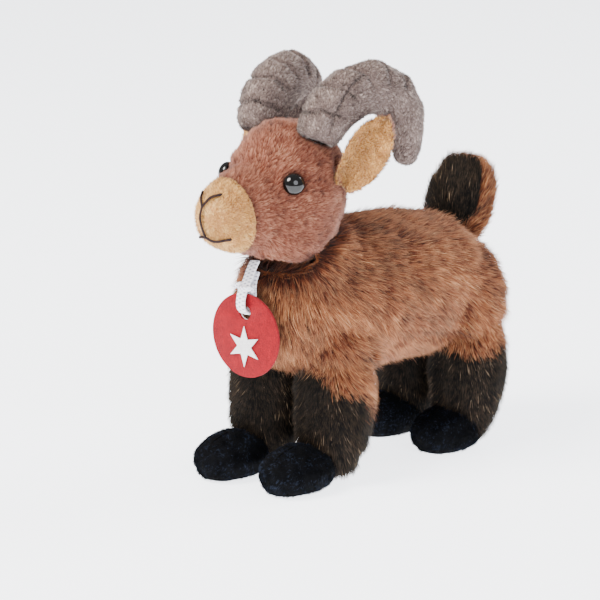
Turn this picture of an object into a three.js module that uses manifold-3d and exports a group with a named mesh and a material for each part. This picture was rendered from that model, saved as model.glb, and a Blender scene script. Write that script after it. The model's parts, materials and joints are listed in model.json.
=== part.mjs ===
// A small plush ibex that stands on four stuffed legs: a long-haired body, a short-haired head with
// horns, ears and a sewn muzzle, velour hooves, an upright tail and a round cloth tag on a flat elastic.
// Millimetres, +Z up. The animal looks along -Y and its left side is +X. The origin is on the ground.
import * as THREE from 'three';
import { mergeVertices } from 'three/addons/utils/BufferGeometryUtils.js';
import Module from 'manifold-3d';

const wasm = await Module();
wasm.setup();

// Cloth walls, each the backing with its pile pressed flat.
const longPile = 3;
const shortPile = 2;
const velourWall = 1.6;

// Clearances.
const seamGap = 0.45; // between pieces that are sewn to each other
const fillGap = 0.35; // between a cover and the filling inside it
const stitchGap = 0.3; // round a thread, a shank or a cord

// Overall stance.
const bodyLength = 115; // chest to rump
const bodyHeight = 56.5; // belly to back
const bodyWidth = 54;
const chest = -44.5; // the front of the body
const rump = chest + bodyLength;
const backHeight = 94.5; // top of the back above the ground

// Neck.
const neckRadius = 20;
const neckTop = 96;
const neckLean = 9; // how far the neck comes forward from its root to its top
const neckPlace = -17; // the neck's root

// Head.
const headRadius = 23; // half its width and half its length
const headHeight = 51.5;
const headPlace = [-29.3, 107.7];
const headSlant = 7; // how far the jaw lies ahead of the crown
const headOpening = 11.5; // radius of the opening in the head's cover, over the neck
const muzzleRadius = 12.2;
const muzzleFront = -67.2;
const muzzleHeight = 100.8; // the muzzle's middle above the ground
const muzzleSeam = -55.5; // where the muzzle patch is sewn to the head
const seamSlant = 8; // degrees that the patch's seam leans

// Legs and hooves. Each leg stands on its own spot, the front left one a little back, and forward is
// how far the hoof's middle lies ahead of the leg's.
const legPlaces = {
  front_left: { x: 13.2, y: -16.8, radius: 13.2, top: 52, forward: 19 },
  front_right: { x: -17, y: -21.5, radius: 13.2, top: 52, forward: 19 },
  rear_left: { x: 15.6, y: rump - 16.5, radius: 12.8, top: 54, forward: 12 },
  rear_right: { x: -15.6, y: rump - 16.5, radius: 12.8, top: 54, forward: 12 },
};
const ankleRadius = 10.6;
const ankleHeight = 4; // the lower end of the furry leg above the ground
const hoofWidth = 23;
const hoofLength = 29;
const hoofHeight = 17;
const cleftRadius = 0.8; // the crease between the two toes

// Horns.
const hornRadius = 9.6;
const hornTipRadius = 5;
const hornSpread = 15.3; // half the distance between the horns' roots
const hornRoot = [-28.7, 127.2];
const ridgeDepth = 0.9; // how deep the stitched creases lie
const ridgePlaces = [0.16, 0.3, 0.43, 0.56]; // along the horn from its root

// Ears.
const earLength = 25;
const earWidth = 16.5;
const earWall = 1.8;
const earRoot = [22.4, -20.3, 114.4];
const earTip = [32.6, -11, 135.2];
const earFacing = [0.62, -0.78, 0];

// Tail.
const tailWidth = 27;
const tailDepth = 18;
const tailRoot = [0, rump - 11, backHeight - 16.5];
const tailTip = [0, rump + 0.3, backHeight + 13.5];

// Eyes.
const eyeRadius = 3.9;
const eyeDome = 3; // height of the dome over the cloth
const eyeToward = [20, -14, 7.5]; // from the middle of the head
const shankRadius = 1.5;
const shankLength = 8;
const washerRadius = 4.2;
const washerWall = 1.3;

// Tag and its elastic.
const tagRadius = 15.5;
const tagFrontWall = 1.1;
const tagBackWall = 1.4;
const tagHole = 3.1; // radius of the hole for the elastic
const tagHoleRise = 8.4; // the hole above the tag's middle
const tagPlace = [2.2, -50.2, 58.8];
const tagTurn = 7; // degrees towards the animal's left
const motifRadius = 8;
const motifWall = 0.5;
const elasticWidth = 4.4;
const elasticWall = 1.1;
const elasticRoute = [
  [0.4, -44.3, 84.6], [0.8, -46.2, 82.6], [1.3, -48.2, 79.8], [1.8, -50.2, 77.2], [2.1, -52.0, 75.0],
  [2.3, -53.0, 72.4], [2.3, -53.1, 69.6], [2.2, -51.9, 67.7], [2.1, -49.8, 67.0], [1.9, -47.8, 67.7],
  [1.8, -46.9, 69.8], [1.6, -47.0, 72.8], [1.3, -46.8, 75.6], [0.9, -45.9, 78.2], [0.5, -44.4, 80.6],
];

// How far each sewn piece bends, in degrees each way.
const legSwing = 8;
const earSwing = 10;
const tailSwing = 12;

// Thread.
const threadRadius = 0.5;

const material = (color, roughness, metalness = 0) =>
  new THREE.MeshStandardMaterial({ color, roughness, metalness });
const cloth = {
  rustFur: material('#9a6145', 0.95),
  darkFur: material('#2e241f', 0.95),
  rosePlush: material('#9f6652', 0.9),
  sandPlush: material('#cb9d63', 0.9),
  taupePlush: material('#8b7c76', 0.9),
  blackVelour: material('#15171d', 0.85),
  filling: material('#f1efe9', 1),
  eyeBlack: material('#0b0b0d', 0.08),
  thread: material('#3a2522', 0.8),
  redFelt: material('#d0233b', 0.9),
  whiteFelt: material('#f0eef0', 0.9),
  elastic: material('#e9e9ee', 0.8),
};

const ibex = new THREE.Group();

// Solids

// A closed three.js geometry as a solid that can be cut and joined.
function solid(geometry) {
  const bare = geometry.clone();
  bare.deleteAttribute('normal');
  bare.deleteAttribute('uv');
  const merged = mergeVertices(bare, 1e-4);
  const corners = new Uint32Array(merged.index.array);
  const vertProperties = merged.attributes.position.array;
  const made = new wasm.Manifold(new wasm.Mesh({ numProp: 3, vertProperties, triVerts: corners }));
  if (made.volume() >= 0) return made;
  for (let i = 0; i < corners.length; i += 3) {
    [corners[i + 1], corners[i + 2]] = [corners[i + 2], corners[i + 1]];
  }
  return new wasm.Manifold(new wasm.Mesh({ numProp: 3, vertProperties, triVerts: corners }));
}

// A solid's surface as a three.js geometry.
function surface(made) {
  const { vertProperties, triVerts, numProp } = made.getMesh();
  const place = new Float32Array((vertProperties.length / numProp) * 3);
  for (let i = 0; i < place.length / 3; i++) {
    place.set(vertProperties.subarray(i * numProp, i * numProp + 3), i * 3);
  }
  const geometry = new THREE.BufferGeometry();
  geometry.setAttribute('position', new THREE.BufferAttribute(place, 3));
  geometry.setIndex(Array.from(triVerts));
  return geometry;
}

function add(name, made, finish) {
  const geometry = surface(made);
  geometry.computeVertexNormals();
  const mesh = new THREE.Mesh(geometry, finish);
  mesh.name = name;
  ibex.add(mesh);
}

// A stuffed form: a sphere drawn out along a spine, with a half-width and a half-height at each of
// the spine's points. Growth moves its whole skin out, and a negative one moves it in.
function stuffed({ spine, girth, blunt = 0.5, sides = 16, rings = 10, across = [1, 0, 0] }, growth = 0) {
  const points = spine.map((p) => new THREE.Vector3(...p));
  const last = points.length - 1;
  const startOut = points[0].clone().sub(points[1]).setLength(growth);
  const endOut = points[last].clone().sub(points[last - 1]).setLength(growth);
  points[0].add(startOut);
  points[last].add(endOut);
  const line = new THREE.CatmullRomCurve3(points);
  const girthLine = new THREE.CatmullRomCurve3(girth.map(([w, h]) => new THREE.Vector3(w, h, 0)));
  const sphere = new THREE.SphereGeometry(1, sides, rings);
  const place = sphere.attributes.position;
  const wide = new THREE.Vector3(...across);
  for (let i = 0; i < place.count; i++) {
    const along = THREE.MathUtils.clamp((1 - place.getY(i)) / 2, 0, 1);
    const out = Math.hypot(place.getX(i), place.getZ(i));
    const tangent = line.getTangent(along);
    const sideways = wide.clone().addScaledVector(tangent, -wide.dot(tangent)).normalize();
    const upward = tangent.clone().cross(sideways);
    const size = girthLine.getPoint(along);
    const full = out > 1e-6 ? out ** (blunt - 1) : 0;
    const at = line.getPoint(along);
    at.addScaledVector(sideways, place.getX(i) * full * (size.x + growth));
    at.addScaledVector(upward, place.getZ(i) * full * (size.y + growth));
    place.setXYZ(i, at.x, at.y, at.z);
  }
  return solid(sphere);
}

const mirrored = ([x, y, z], side) => [x * side, y, z];

// The same solid turned about a line through a point.
function turned(made, degrees, axis, pivot) {
  const turn = new THREE.Matrix4().makeRotationAxis(
    new THREE.Vector3(...axis).normalize(), THREE.MathUtils.degToRad(degrees));
  const [x, y, z] = pivot;
  const whole = new THREE.Matrix4().makeTranslation(x, y, z).multiply(turn)
    .multiply(new THREE.Matrix4().makeTranslation(-x, -y, -z));
  return solid(surface(made).applyMatrix4(whole));
}

// The room that a piece needs as it bends from one end of its swing to the other.
function roomFor(made, swing, axis, pivot) {
  return made.add(turned(made, -swing, axis, pivot)).add(turned(made, swing, axis, pivot));
}

// The room for a form that swings about its first point: it widens towards the far end, and its near
// end is clear of the corners that lift as the form tips.
function swept({ spine, girth, ...rest }, swing) {
  const tip = Math.sin(THREE.MathUtils.degToRad(swing));
  const reach = new THREE.Vector3(...spine.at(-1)).distanceTo(new THREE.Vector3(...spine[0]));
  const wider = girth.map(([w, h], i) => [w, h + (reach * tip * i) / (girth.length - 1)]);
  return stuffed({ spine, girth: wider, ...rest }, seamGap + girth[0][1] * tip);
}

function block(low, high) {
  const size = high.map((v, i) => v - low[i]);
  const box = new THREE.BoxGeometry(...size);
  box.translate(...low.map((v, i) => v + size[i] / 2));
  return solid(box);
}

function ball(place, radius) {
  return solid(new THREE.SphereGeometry(radius, 10, 6).translate(...place));
}

// Linings and fillings need fewer faces than a skin, and lie inside it.
const coarse = (form) => ({ ...form, sides: 8, rings: 6 });

const joined = (forms, growth) => forms.map((f) => stuffed(f, growth)).reduce((a, b) => a.add(b));

const belowGround = (height) => block([-200, -200, height - 100], [200, 200, height]);

// A thread or cord of one section along a route.
function tube(route, section, steps) {
  const line = new THREE.CatmullRomCurve3(route.map((p) => new THREE.Vector3(...p)));
  return solid(new THREE.ExtrudeGeometry(section, { steps, extrudePath: line }));
}

function roundSection(radius, corners) {
  const points = [];
  for (let i = 0; i < corners; i++) {
    const angle = (i / corners) * 2 * Math.PI;
    points.push(new THREE.Vector2(Math.cos(angle) * radius, Math.sin(angle) * radius));
  }
  return new THREE.Shape(points);
}

// A crease across the outer curve of a stuffed form, at a share of its length.
function ridge({ spine, girth }, along, depth) {
  const line = new THREE.CatmullRomCurve3(spine.map((p) => new THREE.Vector3(...p)));
  const at = line.getPoint(along);
  const tangent = line.getTangent(along);
  const sideways = new THREE.Vector3(1, 0, 0).addScaledVector(tangent, -tangent.x).normalize();
  const upward = tangent.clone().cross(sideways);
  if (upward.z + 0.3 * -upward.y < 0) upward.negate();
  const radius = girth[Math.round(along * (girth.length - 1))][0];
  const route = [];
  for (const angle of [-75, -37, 0, 37, 75]) {
    const turn = THREE.MathUtils.degToRad(angle);
    const out = sideways.clone().multiplyScalar(Math.sin(turn)).addScaledVector(upward, Math.cos(turn));
    route.push(at.clone().addScaledVector(out, radius + 0.2).toArray());
  }
  return tube(route, roundSection(depth, 6), 6);
}

// Forms, each given by its skin

const bodyAxis = backHeight - bodyHeight / 2;
const bodyMiddle = chest + bodyLength / 2;
const torso = {
  spine: [
    [0, bodyMiddle + bodyLength * 0.5, bodyAxis - 5],
    [0, bodyMiddle + bodyLength * 0.27, bodyAxis - 2],
    [0, bodyMiddle, bodyAxis],
    [0, bodyMiddle - bodyLength * 0.27, bodyAxis],
    [0, bodyMiddle - bodyLength * 0.5, bodyAxis - 1],
  ],
  girth: [
    [bodyWidth * 0.46, bodyHeight * 0.47],
    [bodyWidth * 0.51, bodyHeight * 0.5],
    [bodyWidth * 0.5, bodyHeight * 0.48],
    [bodyWidth * 0.51, bodyHeight * 0.51],
    [bodyWidth * 0.45, bodyHeight * 0.46],
  ],
  blunt: 0.62,
  sides: 16,
  rings: 9,
};
const neck = {
  spine: [
    [0, neckPlace, bodyAxis - 6],
    [0, neckPlace - neckLean * 0.5, (bodyAxis + neckTop) / 2],
    [0, neckPlace - neckLean, neckTop],
  ],
  girth: [
    [neckRadius + 4, neckRadius + 3],
    [neckRadius + 1, neckRadius],
    [neckRadius - 2, neckRadius - 2],
  ],
  sides: 12,
  rings: 6,
};
const shoulder = ({ x, y, radius }) => ({
  spine: [[x, y + 1, 64], [x, y + 1, 33]],
  girth: [[radius - 2, radius + 2], [radius + 1, radius + 2]],
  sides: 12,
  rings: 5,
});
const thigh = ({ x, y, radius }) => ({
  spine: [[x, y - 4, 76], [x, y - 1, 39]],
  girth: [[radius - 3, radius + 6], [radius + 1, radius + 3]],
  sides: 12,
  rings: 5,
});

const [headY, headZ] = headPlace;
const cranium = {
  spine: [
    [0, headY + headSlant, headZ + headHeight / 2],
    [0, headY, headZ],
    [0, headY - headSlant, headZ - headHeight / 2],
  ],
  girth: [
    [headRadius * 0.9, headRadius * 0.86],
    [headRadius, headRadius],
    [headRadius * 0.9, headRadius * 0.95],
  ],
  blunt: 0.62,
  sides: 16,
  rings: 8,
};
const snout = {
  spine: [
    [0, headY - 4, headZ - 2],
    [0, (headY + muzzleFront) / 2, muzzleHeight + 3],
    [0, muzzleFront, muzzleHeight],
  ],
  girth: [
    [headRadius * 0.9, headRadius * 0.9],
    [muzzleRadius * 1.25, muzzleRadius * 1.35],
    [muzzleRadius * 0.9, muzzleRadius * 0.92],
  ],
  blunt: 0.5,
  sides: 14,
  rings: 7,
};

const legForm = ({ x, y, radius, top }) => ({
  spine: [[x, y, top], [x, y, (top + ankleHeight) / 2], [x, y - 3, ankleHeight]],
  girth: [[radius, radius], [radius, radius], [ankleRadius, ankleRadius]],
  blunt: 0.42,
  sides: 10,
  rings: 6,
});
const hoofForm = ({ x, y, forward }) => {
  const middle = y - forward;
  return {
    spine: [
      [x, middle + hoofLength / 2, hoofHeight * 0.42],
      [x, middle, hoofHeight * 0.46],
      [x, middle - hoofLength / 2, hoofHeight * 0.38],
    ],
    girth: [
      [hoofWidth * 0.46, hoofHeight * 0.5],
      [hoofWidth * 0.5, hoofHeight * 0.54],
      [hoofWidth * 0.42, hoofHeight * 0.46],
    ],
    sides: 10,
    rings: 6,
  };
};

const hornForm = (side) => {
  const [y, z] = hornRoot;
  const bends = [
    [0, 0, 0], [1, 3.8, 8.5], [3, 11, 15.4], [6, 22, 18.8],
    [9.5, 30.6, 13.6], [11.6, 33.4, 3.4], [12.6, 33, -10.2],
  ];
  const taper = [1, 1, 1.02, 1, 0.86, 0.5, 0];
  return {
    spine: bends.map(([out, back, up]) => [(hornSpread + out) * side, y + back, z + up]),
    girth: taper.map((share) => {
      const radius = hornTipRadius + (hornRadius - hornTipRadius) * share;
      return [radius, radius];
    }),
    blunt: 0.3,
    sides: 8,
    rings: 12,
  };
};

const tailMiddle = tailRoot.map((v, i) => (v + tailTip[i]) / 2);
const tail = {
  spine: [tailRoot, tailMiddle, tailTip],
  girth: [
    [tailWidth * 0.42, tailDepth * 0.5],
    [tailWidth * 0.5, tailDepth * 0.5],
    [tailWidth * 0.46, tailDepth * 0.42],
  ],
  sides: 14,
  rings: 7,
};

// Head forms joined, and the room round them in the neck

const headForms = [cranium, snout];
const headSkin = joined(headForms, 0);
const headCore = joined(headForms.map(coarse), -shortPile);
const headFill = joined(headForms.map(coarse), -shortPile - fillGap);
const headSlack = 0.9; // a turning head needs a little more room than a still one
const headRoom = joined([{ ...cranium, sides: 14, rings: 8 }, { ...snout, sides: 10, rings: 5 }],
  seamGap + headSlack);

const headTarget = new THREE.Mesh(surface(headSkin), new THREE.MeshBasicMaterial());
function onHead(from, direction) {
  const ray = new THREE.Raycaster(new THREE.Vector3(...from), new THREE.Vector3(...direction).normalize());
  return ray.intersectObject(headTarget)[0].point;
}
const onMuzzle = ([x, z], sink = 0) => {
  const { y } = onHead([x, muzzleFront - 50, z], [0, 1, 0]);
  return [x, y + sink, z];
};

// Ears: a leaf of two layers, its root on the head

const earBasis = (side) => {
  const along = new THREE.Vector3(...earTip).sub(new THREE.Vector3(...earRoot)).normalize();
  const facing = new THREE.Vector3(...earFacing);
  facing.addScaledVector(along, -along.dot(facing));
  facing.normalize();
  along.x *= side;
  facing.x *= side;
  const across = along.clone().cross(facing);
  const root = new THREE.Vector3(...mirrored(earRoot, side));
  return { across, along, facing, root };
};
function leaf(side, low, high, growth) {
  const half = earWidth / 2 + growth;
  const shape = new THREE.Shape();
  shape.moveTo(-half * 0.62, -growth);
  shape.bezierCurveTo(-half * 1.35, earLength * 0.35, -half * 0.85, earLength * 0.85, 0, earLength + growth);
  shape.bezierCurveTo(half * 0.85, earLength * 0.85, half * 1.35, earLength * 0.35, half * 0.62, -growth);
  const depth = high - low + 2 * growth;
  const plate = new THREE.ExtrudeGeometry(shape, { depth, bevelEnabled: false, curveSegments: 7 });
  const { across, along, facing, root } = earBasis(side);
  plate.translate(0, 0, low - growth);
  plate.applyMatrix4(new THREE.Matrix4().makeBasis(across, along, facing).setPosition(root));
  return solid(plate);
}
const earRooms = [1, -1].map((side) => {
  const { across, root } = earBasis(side);
  const whole = leaf(side, -earWall, earWall + stitchGap, seamGap);
  return roomFor(whole, earSwing, across.toArray(), root.toArray());
});

// Body

const { front_left, front_right, rear_left, rear_right } = legPlaces;
const bodyForms = [
  torso, neck, shoulder(front_left), shoulder(front_right), thigh(rear_left), thigh(rear_right),
];
const fillSlack = 3; // how much further the filling stays away from the pieces that bend
const bending = [...Object.values(legPlaces).map((place) => [legForm(place), legSwing]), [tail, tailSwing]];
let bodySkin = joined(bodyForms, 0).subtract(headRoom);
let bodyFill = joined(bodyForms.map(coarse), -longPile - fillGap)
  .subtract(joined(headForms.map(coarse), seamGap + fillSlack));
for (const [form, swing] of bending) {
  bodySkin = bodySkin.subtract(swept(form, swing));
  bodyFill = bodyFill.subtract(stuffed(coarse(form), seamGap + fillSlack));
}
add('body_cover', bodySkin.subtract(joined(bodyForms.map(coarse), -longPile)), cloth.rustFur);
add('body_stuffing', bodyFill, cloth.filling);

// Legs

for (const [name, place] of Object.entries(legPlaces)) {
  const { x, y, radius, top, forward } = place;
  const form = legForm(place);
  const hoof = hoofForm(place);
  const legCore = stuffed(coarse(form), -longPile).add(ball([x, y, top - 2], radius / 2));
  add(`${name}_leg_cover`, stuffed(form).subtract(legCore), cloth.darkFur);
  add(`${name}_leg_stuffing`, stuffed(coarse(form), -longPile - fillGap), cloth.filling);

  // The crease between the toes runs from the top of the hoof over its front to the sole.
  const toe = y - forward - hoofLength / 2;
  const crease = [
    [x, toe + hoofLength * 0.42, hoofHeight * 0.99],
    [x, toe + hoofLength * 0.17, hoofHeight * 0.86],
    [x, toe + 0.3, hoofHeight * 0.5],
    [x, toe + 1.3, hoofHeight * 0.2],
  ];
  const legClear = stuffed(form, seamGap);
  const hoofCore = stuffed(coarse(hoof), -velourWall).subtract(belowGround(velourWall));
  const hoofSkin = stuffed(hoof)
    .subtract(belowGround(0))
    .subtract(legClear)
    .subtract(hoofCore)
    .subtract(tube(crease, roundSection(cleftRadius, 6), 6));
  const hoofFill = stuffed(coarse(hoof), -velourWall - fillGap)
    .subtract(belowGround(velourWall + fillGap))
    .subtract(legClear);
  add(`${name}_hoof_cover`, hoofSkin, cloth.blackVelour);
  add(`${name}_hoof_stuffing`, hoofFill, cloth.filling);
  add(`${name}_hoof_stitch`, tube(crease, roundSection(cleftRadius - stitchGap, 6), 6), cloth.blackVelour);
}

// Head

const hornRooms = [1, -1].map((side) => stuffed(hornForm(side), seamGap));
const seamBlock = (offset) => turned(
  block([-60, muzzleSeam + offset - 100, 0], [60, muzzleSeam + offset, 200]),
  seamSlant, [1, 0, 0], [0, muzzleSeam, muzzleHeight]);
const ahead = seamBlock(-stitchGap / 2);
const aheadAndSeam = seamBlock(stitchGap / 2);

// Embroidered strokes, each given as [x, z] points on the front of the muzzle.
const noseMiddle = muzzleHeight + 6.2;
const strokes = {
  nose_embroidery: [
    [[-5.2, noseMiddle + 4.4], [-2.6, noseMiddle + 2.4], [0, noseMiddle]],
    [[5.2, noseMiddle + 4.4], [2.6, noseMiddle + 2.4], [0, noseMiddle]],
    [[0, noseMiddle + 0.4], [0, noseMiddle - 4.4], [0, noseMiddle - 9]],
  ],
  mouth_embroidery: [
    [[-7.8, noseMiddle - 10], [-4.2, noseMiddle - 10.8], [0, noseMiddle - 10.4],
      [4.2, noseMiddle - 10.8], [7.8, noseMiddle - 10]],
  ],
};
const stroke = (points, radius) => tube(points.map((p) => onMuzzle(p)), roundSection(radius, 6), 5);
const strokesOf = (list, radius) => list.map((points) => stroke(points, radius)).reduce((a, b) => a.add(b));

let headCover = headSkin.subtract(headCore).subtract(aheadAndSeam)
  .subtract(ball([0, headY - headSlant + 2, headZ - headHeight / 2], headOpening));
let muzzleCover = headSkin.subtract(headCore).intersect(ahead);
let headStuffing = headFill;
for (const [name, list] of Object.entries(strokes)) {
  muzzleCover = muzzleCover.subtract(strokesOf(list, threadRadius + stitchGap));
  add(name, strokesOf(list, threadRadius), cloth.thread);
}

// A safety eye: a dome with a shank that goes through the cloth, held by a washer behind it.
const eyeProfile = (growth) => [
  [0, eyeDome + growth], [eyeRadius * 0.45, eyeDome * 0.9 + growth],
  [eyeRadius * 0.82 + growth, eyeDome * 0.55 + growth], [eyeRadius + growth, growth],
  [eyeRadius * 0.9 + growth, -0.5 - growth], [shankRadius + growth, -0.5 - growth],
  [shankRadius + growth, -shankLength - growth], [0, -shankLength - growth],
];
const washerProfile = (growth) => {
  const inner = growth > 0 ? 0 : shankRadius + stitchGap;
  const low = -shortPile - fillGap - 2 - washerWall;
  return [
    [inner, low - growth], [washerRadius + growth, low - growth],
    [washerRadius + growth, low + washerWall + growth], [inner, low + washerWall + growth],
    [inner, low - growth],
  ];
};
function lathe(profile, place, direction) {
  const turn = new THREE.Quaternion()
    .setFromUnitVectors(new THREE.Vector3(0, 1, 0), new THREE.Vector3(...direction).normalize());
  const geometry = new THREE.LatheGeometry(profile.map(([r, y]) => new THREE.Vector2(r, y)), 14);
  return solid(geometry.applyQuaternion(turn).translate(place.x, place.y, place.z));
}
for (const [i, [name, side]] of [['left', 1], ['right', -1]].entries()) {
  const toward = mirrored(eyeToward, side);
  const out = toward.map((v, k) => [0, headY, headZ][k] + v * 5);
  const seat = onHead(out, toward.map((v) => -v));
  add(`${name}_eye`, lathe(eyeProfile(0), seat, toward), cloth.eyeBlack);
  add(`${name}_eye_washer`, lathe(washerProfile(0), seat, toward), cloth.whiteFelt);
  const eyeRoom = lathe(eyeProfile(stitchGap), seat, toward);
  headCover = headCover.subtract(eyeRoom);
  headStuffing = headStuffing.subtract(eyeRoom).subtract(lathe(washerProfile(stitchGap), seat, toward));

  const form = hornForm(side);
  const rootBall = ball(form.spine[0], hornTipRadius);
  const ridges = ridgePlaces.map((along) => ridge(form, along, ridgeDepth));
  const hornSkin = ridges.reduce((a, b) => a.subtract(b), stuffed(form));
  const hornCore = stuffed(form, -shortPile).add(rootBall);
  add(`${name}_horn_cover`, hornSkin.subtract(hornCore), cloth.taupePlush);
  add(`${name}_horn_stuffing`, stuffed(form, -shortPile - fillGap), cloth.filling);
  headCover = headCover.subtract(hornRooms[i]).subtract(earRooms[i]);
  headStuffing = headStuffing.subtract(hornRooms[i]).subtract(earRooms[i]);

  const lining = leaf(side, stitchGap, stitchGap + earWall, 0);
  add(`${name}_ear_back`, leaf(side, -earWall, 0, 0), cloth.rosePlush);
  add(`${name}_ear_lining`, lining, cloth.sandPlush);
}
add('head_cover', headCover, cloth.rosePlush);
add('muzzle_cover', muzzleCover, cloth.sandPlush);
add('head_stuffing', headStuffing, cloth.filling);

// Tail: a dark front and a rust back, sewn along the edge

const tailLean = -THREE.MathUtils.radToDeg(Math.atan2(tailTip[1] - tailRoot[1], tailTip[2] - tailRoot[2]));
const tailHalf = (low, high) => turned(
  block([-50, tailRoot[1] + low, 0], [50, tailRoot[1] + high, 200]), tailLean, [1, 0, 0], tailRoot);
const tailShell = stuffed(tail).subtract(stuffed(coarse(tail), -longPile));
add('tail_front_cover', tailShell.intersect(tailHalf(-60, -stitchGap / 2)), cloth.darkFur);
add('tail_back_cover', tailShell.intersect(tailHalf(stitchGap / 2, 60)), cloth.rustFur);
add('tail_stuffing', stuffed(coarse(tail), -longPile - fillGap), cloth.filling);

// Tag on its elastic

const tagFrame = new THREE.Matrix4()
  .makeRotationZ(THREE.MathUtils.degToRad(tagTurn))
  .multiply(new THREE.Matrix4().makeRotationX(Math.PI / 2))
  .setPosition(...tagPlace);
function tagLayer(outline, low, high) {
  const options = { depth: high - low, bevelEnabled: false, curveSegments: 16 };
  const layer = new THREE.ExtrudeGeometry(outline, options).translate(0, 0, low);
  return solid(layer.applyMatrix4(tagFrame));
}
const tagOutline = new THREE.Shape().absarc(0, 0, tagRadius, 0, 2 * Math.PI);
tagOutline.holes.push(new THREE.Path().absarc(0, tagHoleRise, tagHole, 0, 2 * Math.PI, true));
add('tag_front', tagLayer(tagOutline, 0, tagFrontWall), cloth.redFelt);
add('tag_back', tagLayer(tagOutline, -stitchGap - tagBackWall, -stitchGap), cloth.whiteFelt);

const petals = 6;
const motif = new THREE.Shape();
for (let i = 0; i < petals * 2; i++) {
  const angle = (i / (petals * 2)) * 2 * Math.PI + Math.PI / 2;
  const reach = i % 2 ? motifRadius * 0.42 : motifRadius;
  motif[i ? 'lineTo' : 'moveTo'](Math.cos(angle) * reach * 0.9, Math.sin(angle) * reach * 0.9 - 4);
}
const motifBase = tagFrontWall + stitchGap;
add('tag_motif', tagLayer(motif, motifBase, motifBase + motifWall), cloth.whiteFelt);

const flat = new THREE.Shape([
  [-1, -0.4], [-0.8, -1], [0.8, -1], [1, -0.4], [1, 0.4], [0.8, 1], [-0.8, 1], [-1, 0.4],
].map(([w, h]) => new THREE.Vector2((w * elasticWidth) / 2, (h * elasticWall) / 2)));
add('tag_cord', tube(elasticRoute, flat, 24), cloth.elastic);

// The origin is on the ground, under the middle of the animal's length.
const { min, max } = new THREE.Box3().setFromObject(ibex);
ibex.position.y = -(min.y + max.y) / 2;

export default ibex;
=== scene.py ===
import json
import math

import bmesh
import bpy
import numpy as np
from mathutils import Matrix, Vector
from mathutils.bvhtree import BVHTree
from mathutils.kdtree import KDTree

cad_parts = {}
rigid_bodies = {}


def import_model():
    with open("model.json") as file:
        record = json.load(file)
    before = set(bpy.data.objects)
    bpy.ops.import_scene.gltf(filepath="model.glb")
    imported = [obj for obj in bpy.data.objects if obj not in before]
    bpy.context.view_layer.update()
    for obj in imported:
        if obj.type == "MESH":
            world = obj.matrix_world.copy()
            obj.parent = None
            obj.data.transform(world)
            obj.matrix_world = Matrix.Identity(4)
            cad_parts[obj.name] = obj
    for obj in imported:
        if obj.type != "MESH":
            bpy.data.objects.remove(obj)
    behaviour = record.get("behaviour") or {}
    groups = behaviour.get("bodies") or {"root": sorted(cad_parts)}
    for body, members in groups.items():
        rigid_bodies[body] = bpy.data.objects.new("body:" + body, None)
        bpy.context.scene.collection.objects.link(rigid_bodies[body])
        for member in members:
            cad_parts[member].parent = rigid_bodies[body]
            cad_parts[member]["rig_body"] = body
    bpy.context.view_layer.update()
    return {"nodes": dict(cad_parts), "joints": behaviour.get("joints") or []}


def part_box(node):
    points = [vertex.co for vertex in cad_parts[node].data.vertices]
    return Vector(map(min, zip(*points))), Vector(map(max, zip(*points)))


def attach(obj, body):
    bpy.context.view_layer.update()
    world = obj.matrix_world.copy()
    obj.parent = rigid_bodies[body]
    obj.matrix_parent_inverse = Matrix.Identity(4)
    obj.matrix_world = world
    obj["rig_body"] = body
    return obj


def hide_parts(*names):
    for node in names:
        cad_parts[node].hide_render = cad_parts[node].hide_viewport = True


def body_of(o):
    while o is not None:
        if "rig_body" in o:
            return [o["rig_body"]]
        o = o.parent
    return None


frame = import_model()
nodes = frame["nodes"]
mm = 0.001
ground = {"cloth": 0.05, "fibre": 0.1}  # how near to the floor each may come, in mm

# Camera: a long lens, a little above the animal, to the front of its left side.
view = {"azimuth": 46, "elevation": 13, "distance": 0.8, "target": (-0.0208, -0.0055, 0.060), "lens": 126.3}


def placeCamera():
    around, up = math.radians(view["azimuth"]), math.radians(view["elevation"])
    back = Vector((math.sin(around) * math.cos(up), -math.cos(around) * math.cos(up), math.sin(up)))
    lens = bpy.data.cameras.new("camera")
    lens.lens = view["lens"]
    lens.sensor_width = 36
    camera = bpy.data.objects.new("camera", lens)
    camera.location = Vector(view["target"]) + view["distance"] * back
    camera.rotation_euler = back.to_track_quat("Z", "Y").to_euler()
    bpy.context.scene.collection.objects.link(camera)
    bpy.context.scene.camera = camera


placeCamera()
print("camera placed")


def hexColour(code):
    parts = [int(code[i:i + 2], 16) / 255 for i in (1, 3, 5)]
    return [c / 12.92 if c <= 0.04045 else ((c + 0.055) / 1.055) ** 2.4 for c in parts] + [1.0]


def addNode(tree, kind, settings=None, links=None):
    made = tree.nodes.new(kind)
    for key, value in (settings or {}).items():
        if isinstance(key, int) or key in made.inputs:
            made.inputs[key].default_value = value
        else:
            setattr(made, key, value)
    for key, source in (links or {}).items():
        tree.links.new(source, made.inputs[key])
    return made


def setStops(ramp, stops):  # stops are (place, hex colour) pairs
    elements = ramp.color_ramp.elements
    while len(elements) < len(stops):
        elements.new(0.5)
    for element, (place, code) in zip(elements, stops):
        element.position = place
        element.color = hexColour(code)


def newMaterial(name):
    made = bpy.data.materials.new(name)
    made.use_nodes = True
    made.node_tree.nodes.clear()
    return made, made.node_tree


def finishMaterial(tree, shader):
    addNode(tree, "ShaderNodeOutputMaterial", {}, {"Surface": shader.outputs[0]})


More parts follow.
